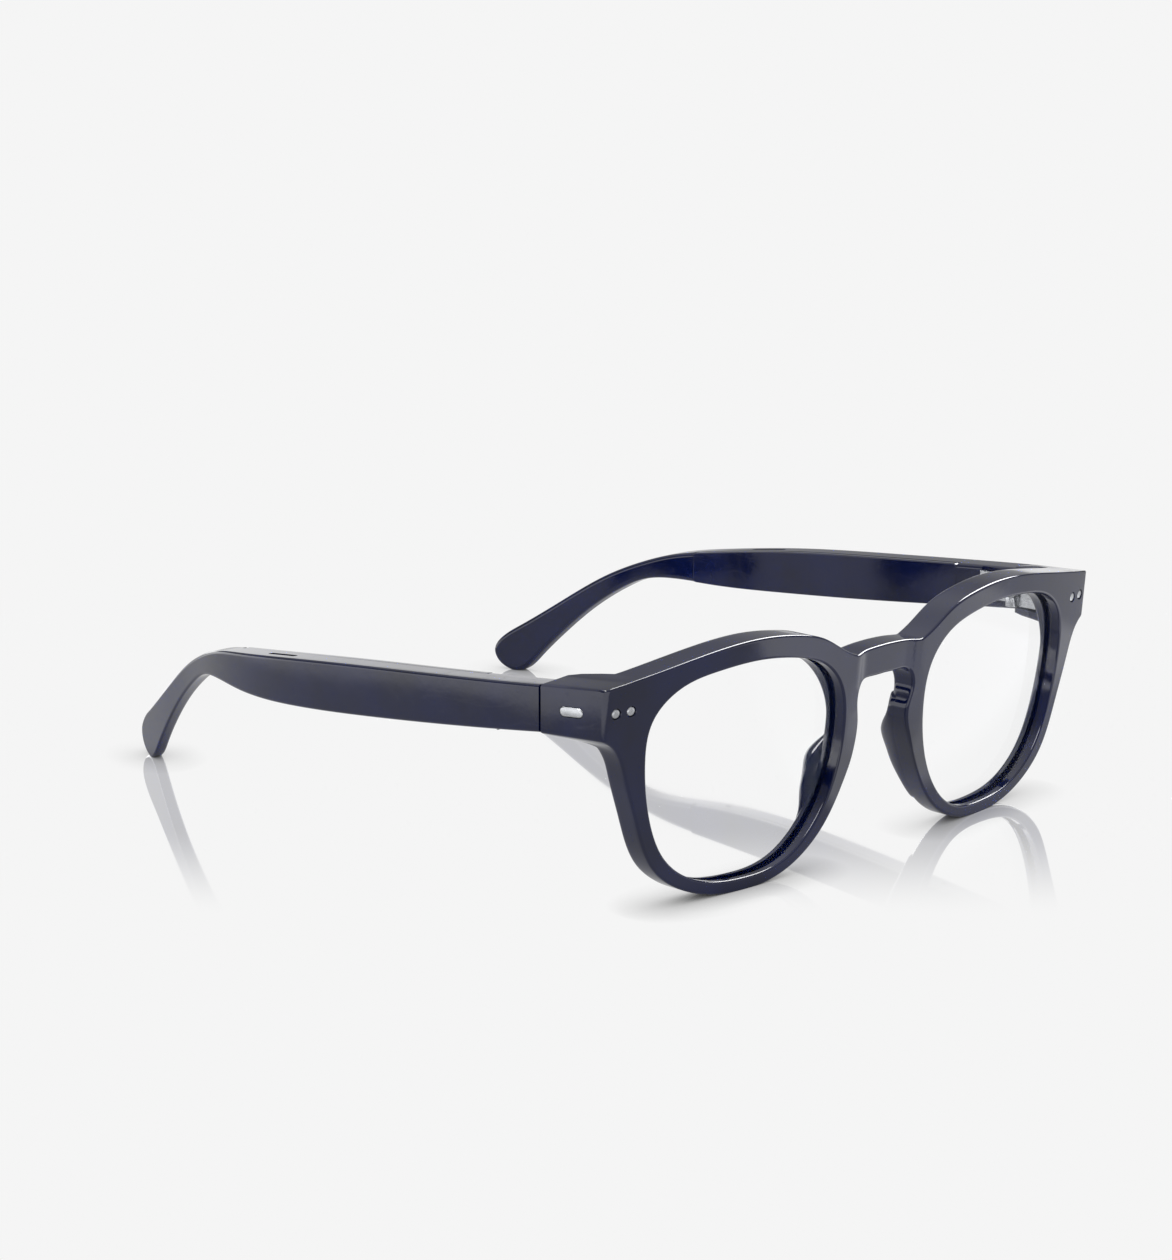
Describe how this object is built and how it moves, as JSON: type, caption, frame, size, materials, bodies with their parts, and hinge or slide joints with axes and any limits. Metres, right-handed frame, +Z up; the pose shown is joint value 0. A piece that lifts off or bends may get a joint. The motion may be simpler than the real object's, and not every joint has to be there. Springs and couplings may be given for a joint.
{
  "type": "audio smart glasses",
  "caption": "Full-rim audio smart glasses with clear lenses, keyhole bridge, saddle nose pads and folding temples that hold the electronics.",
  "frame": {"origin": "middle of the footprint of the open glasses, on the table they stand on", "axes": "+Z up, the wearer looks along -Y and the open temples run along +Y, the wearer's left is +X"},
  "size_m": [0.1422, 0.1542, 0.0459],
  "materials": {
    "navy_plastic": "polished",
    "clear_lens": "polished clear",
    "satin_steel": "satin",
    "vent_mesh": "fine mesh",
    "button_plastic": "satin",
    "battery_foil": "foil",
    "circuit_board": "solder mask",
    "chip": "moulded",
    "metal_can": "plain",
    "coil_copper": "enamelled",
    "flex_cable": "film"
  },
  "bodies": {
    "front": {"front_frame": "navy_plastic", "lens_right": "clear_lens", "lens_left": "clear_lens", "nose_pad_right": "navy_plastic", "nose_pad_left": "navy_plastic", "rivet_right_outer": "satin_steel", "rivet_right_inner": "satin_steel", "rivet_left_outer": "satin_steel", "rivet_left_inner": "satin_steel", "side_inlay_right": "satin_steel", "side_inlay_left": "satin_steel", "hinge_front_right": "satin_steel", "hinge_front_left": "satin_steel", "hinge_screw_right": "satin_steel", "hinge_screw_left": "satin_steel"},
    "temple_right": {"temple_shell_right": "navy_plastic", "temple_cover_right": "navy_plastic", "hinge_temple_right": "satin_steel", "vent_grille_right": "vent_mesh", "battery_right": "battery_foil", "circuit_board_right": "circuit_board", "processor_right": "chip", "charge_coil_right": "coil_copper", "flex_cable_right": "flex_cable", "speaker_right": "metal_can", "microphone_front_right": "metal_can", "microphone_rear_right": "metal_can", "button_switch": "satin_steel"},
    "temple_left": {"temple_shell_left": "navy_plastic", "temple_cover_left": "navy_plastic", "hinge_temple_left": "satin_steel", "vent_grille_left": "vent_mesh", "battery_left": "battery_foil", "circuit_board_left": "circuit_board", "processor_left": "chip", "charge_coil_left": "coil_copper", "flex_cable_left": "flex_cable", "speaker_left": "metal_can", "microphone_front_left": "metal_can", "microphone_rear_left": "metal_can"},
    "button": {"push_button": "button_plastic"}
  },
  "joints": [
    {"name": "right_temple_fold", "type": "hinge", "parent": "front", "child": "temple_right", "pos_m": [-0.0623, -0.05735, 0.0365], "axis": [0, 0, -1], "range_deg": [0, 70]},
    {"name": "left_temple_fold", "type": "hinge", "parent": "front", "child": "temple_left", "pos_m": [0.0623, -0.05735, 0.0365], "axis": [0, 0, 1], "range_deg": [0, 84]},
    {"name": "button_press", "type": "slide", "parent": "temple_right", "child": "button", "axis": [-0.0056, 0.1162, 0.9932], "range_m": [0, 0.00025]}
  ]
}
